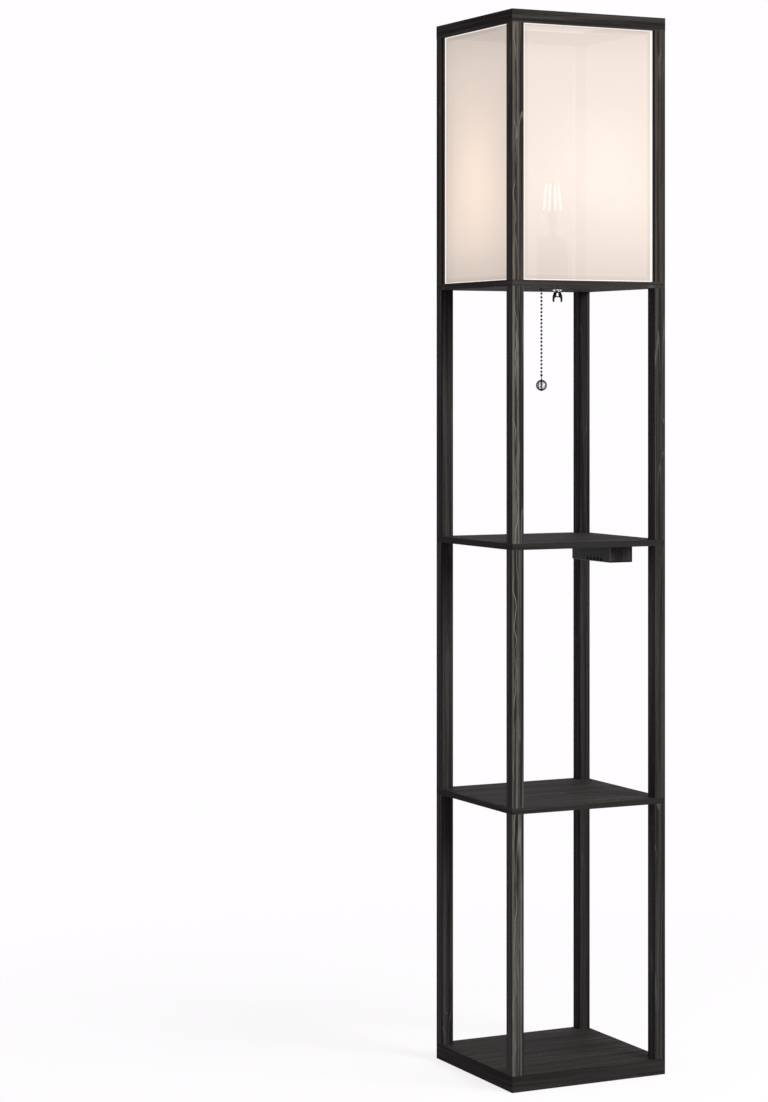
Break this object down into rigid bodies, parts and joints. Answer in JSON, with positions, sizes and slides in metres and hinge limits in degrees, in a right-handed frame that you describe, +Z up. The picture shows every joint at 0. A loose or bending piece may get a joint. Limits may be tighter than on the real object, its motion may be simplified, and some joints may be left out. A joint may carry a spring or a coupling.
{
  "type": "shelf floor lamp",
  "caption": "Square wooden shelf tower with open bays under a frosted lantern head, a pull chain with a clear ball and a charging box under a shelf.",
  "frame": {"origin": "middle of the base board's underside, on the floor", "axes": "+Z up, -Y the front, +X the side that the outlets face"},
  "size_m": [0.26, 0.26, 1.6],
  "materials": {
    "black_wood": "black stained wood, satin lacquer over a fine grain",
    "frosted_panel": "translucent white sheet with a soft fibre",
    "steel": "zinc plated",
    "dowel_wood": "plain beech",
    "holder_plastic": "moulded, fine matt texture",
    "switch_plastic": "brown moulded resin",
    "insulator": "unglazed white",
    "brass": "plain stamped",
    "clear_glass": "clear blown glass",
    "cap_metal": "plain rolled metal",
    "black_glass": "glossy",
    "filament_coating": "yellow coating",
    "lead_wire": "bare wire",
    "black_plastic": "moulded, fine matt texture",
    "chain_metal": "dark nickel plated, polished",
    "bright_metal": "polished",
    "clear_ball": "clear polished",
    "clip_plastic": "moulded, polished",
    "circuit_board": "printed circuit board"
  },
  "bodies": {
    "frame": {"base_board": "black_wood", "low_post_front_left": "black_wood", "low_post_front_right": "black_wood", "low_post_back_left": "black_wood", "low_post_back_right": "black_wood", "mid_post_front_left": "black_wood", "mid_post_front_right": "black_wood", "mid_post_back_left": "black_wood", "mid_post_back_right": "black_wood", "high_post_front_left": "black_wood", "high_post_front_right": "black_wood", "high_post_back_left": "black_wood", "high_post_back_right": "black_wood", "head_post_front_left": "black_wood", "head_post_front_right": "black_wood", "head_post_back_left": "black_wood", "head_post_back_right": "black_wood", "lower_shelf": "black_wood", "upper_shelf": "black_wood", "lamp_board": "black_wood", "top_rail_front": "black_wood", "top_rail_right": "black_wood", "top_rail_back": "black_wood", "top_rail_left": "black_wood", "shade_panel_front": "frosted_panel", "shade_panel_right": "frosted_panel", "shade_panel_back": "frosted_panel", "shade_panel_left": "frosted_panel", "joining_studs": "steel", "base_screws": "steel", "fixing_screws": "steel", "top_dowels": "dowel_wood", "holder_cup": "holder_plastic", "holder_base": "switch_plastic", "holder_insulator": "insulator", "screw_shell": "brass", "holder_contacts": "brass", "switch_pins": "steel", "lever_spring": "steel", "chain_bush": "black_plastic", "cord_clip": "clip_plastic", "clip_stud": "bright_metal", "charger_casing": "black_plastic", "charger_faceplate": "black_plastic", "outlet_contacts": "brass", "charging_ports": "steel", "charger_circuit": "circuit_board"},
    "chain_top": {"chain_upper": "chain_metal"},
    "lever": {"pull_lever": "steel"},
    "rotor": {"switch_rotor": "switch_plastic"},
    "chain_pivot": {"chain_pivot_bead": "chain_metal"},
    "chain_hanging": {"chain_lower": "chain_metal", "ball_connector": "chain_metal", "pull_ball": "clear_ball"},
    "bulb": {"bulb_glass": "clear_glass", "bulb_cap": "cap_metal", "bulb_insulator": "black_glass", "bulb_stem": "clear_glass", "bulb_filaments": "filament_coating", "filament_wires": "lead_wire"}
  },
  "joints": [
    {"name": "chain_pull", "type": "slide", "parent": "frame", "child": "chain_top", "axis": [0, 0, -1], "range_m": [0, 0.01], "stiffness_N_per_m": 500, "springref_m": -0.004},
    {"name": "lever_tip", "type": "hinge", "parent": "frame", "child": "lever", "pos_m": [0.009, 0, 1.21085], "axis": [0, -1, 0], "range_deg": [0, 24.6], "deforming": ["lever_spring"]},
    {"name": "rotor_turn", "type": "hinge", "parent": "frame", "child": "rotor", "pos_m": [0.018, 0, 1.21085], "axis": [0, 1, 0], "continuous": true},
    {"name": "chain_swing_side", "type": "hinge", "parent": "chain_top", "child": "chain_pivot", "pos_m": [-0.014, 0, 1.1896], "axis": [0, 1, 0], "range_deg": [-30, 30]},
    {"name": "chain_swing_front", "type": "hinge", "parent": "chain_pivot", "child": "chain_hanging", "pos_m": [-0.014, 0, 1.1896], "axis": [1, 0, 0], "range_deg": [-30, 30]},
    {"name": "bulb_turn", "type": "hinge", "parent": "frame", "child": "bulb", "pos_m": [0.005, 0, 1.26], "axis": [0, 0, 1], "continuous": true}
  ],
  "couplings": [
    {"joint": "lever_tip", "follows": "chain_pull", "rad_per_m": 42.812}
  ]
}
